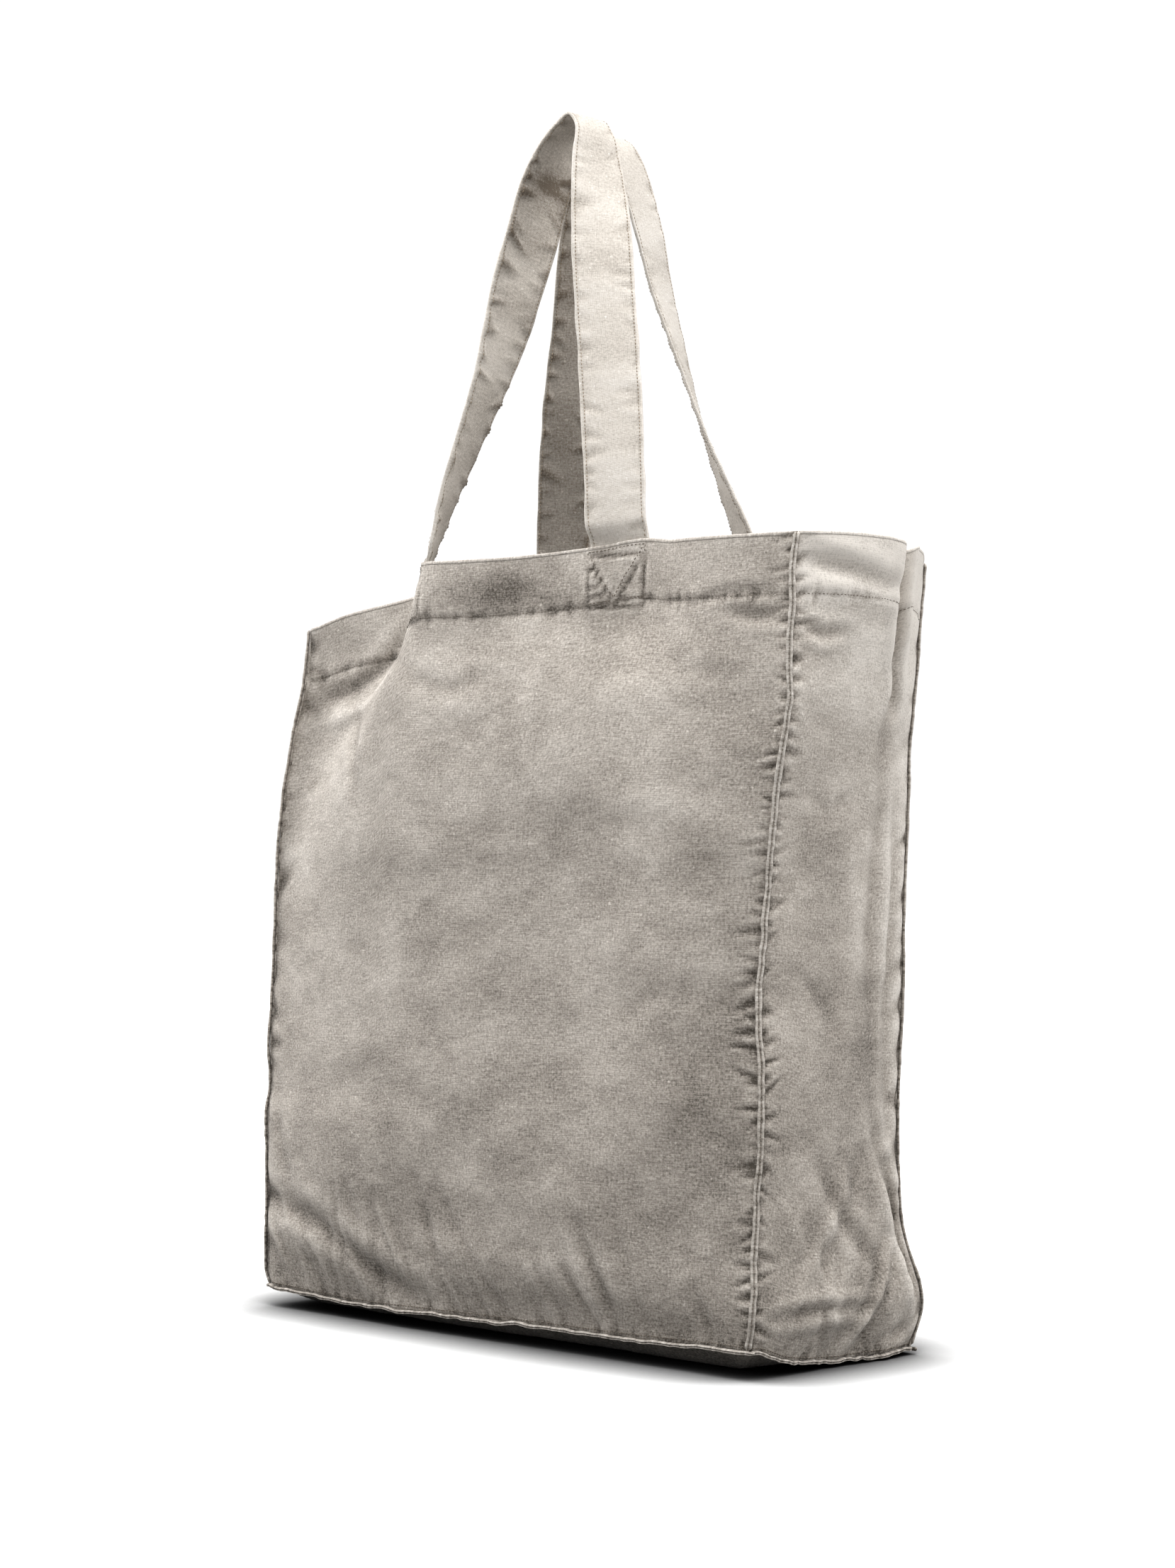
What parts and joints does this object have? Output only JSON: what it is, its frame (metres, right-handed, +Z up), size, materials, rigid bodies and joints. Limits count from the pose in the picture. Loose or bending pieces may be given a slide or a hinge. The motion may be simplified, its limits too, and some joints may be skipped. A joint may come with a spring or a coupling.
{
  "type": "canvas tote bag",
  "caption": "Soft gusseted tote bag with a flat base, turned hem, raised topstitched seams and two long shoulder straps.",
  "frame": {"origin": "centre of the base's underside, where the bag stands", "axes": "+Z up, +X to the bag's right seen from its front, -Y towards its front"},
  "size_m": [0.4606, 0.1842, 0.767],
  "materials": {
    "body_cloth": "garment-washed plain-weave linen canvas, taupe grey",
    "hem_cloth": "the body cloth's wrong side, turned in",
    "seam_cloth": "body cloth worn lighter along the raised seam",
    "strap_cloth": "folded linen strap, paler than the body",
    "body_thread": "cotton sewing thread, brown",
    "strap_thread": "cotton sewing thread, tan"
  },
  "bodies": {
    "bag": {"front_panel": "body_cloth", "front_hem": "hem_cloth", "front_hem_stitching": "body_thread", "base_front_seam": "seam_cloth", "base_front_seam_stitching": "body_thread", "back_panel": "body_cloth", "back_hem": "hem_cloth", "back_hem_stitching": "body_thread", "base_back_seam": "seam_cloth", "base_back_seam_stitching": "body_thread", "right_gusset": "body_cloth", "right_hem": "hem_cloth", "right_hem_stitching": "body_thread", "base_right_seam": "seam_cloth", "base_right_seam_stitching": "body_thread", "left_gusset": "body_cloth", "left_hem": "hem_cloth", "left_hem_stitching": "body_thread", "base_left_seam": "seam_cloth", "base_left_seam_stitching": "body_thread", "base_panel": "body_cloth", "front_right_seam": "seam_cloth", "front_right_seam_stitching": "body_thread", "front_left_seam": "seam_cloth", "front_left_seam_stitching": "body_thread", "back_right_seam": "seam_cloth", "back_right_seam_stitching": "body_thread", "back_left_seam": "seam_cloth", "back_left_seam_stitching": "body_thread", "front_handle_left_end": "strap_cloth", "front_left_box_stitching": "body_thread", "front_handle_right_end": "strap_cloth", "front_right_box_stitching": "body_thread", "back_handle_left_end": "strap_cloth", "back_left_box_stitching": "body_thread", "back_handle_right_end": "strap_cloth", "back_right_box_stitching": "body_thread"},
    "front_handle_loop": {"front_handle": "strap_cloth", "front_handle_inner_stitching": "strap_thread", "front_handle_outer_stitching": "strap_thread"},
    "back_handle_loop": {"back_handle": "strap_cloth", "back_handle_inner_stitching": "strap_thread", "back_handle_outer_stitching": "strap_thread"}
  },
  "joints": [
    {"name": "front_handle_swing", "type": "hinge", "parent": "bag", "child": "front_handle_loop", "pos_m": [0.014, -0.0683, 0.487], "axis": [1, 0, 0], "range_deg": [0, 155]},
    {"name": "back_handle_swing", "type": "hinge", "parent": "bag", "child": "back_handle_loop", "pos_m": [0.014, 0.0683, 0.487], "axis": [-1, 0, 0], "range_deg": [0, 155]}
  ]
}
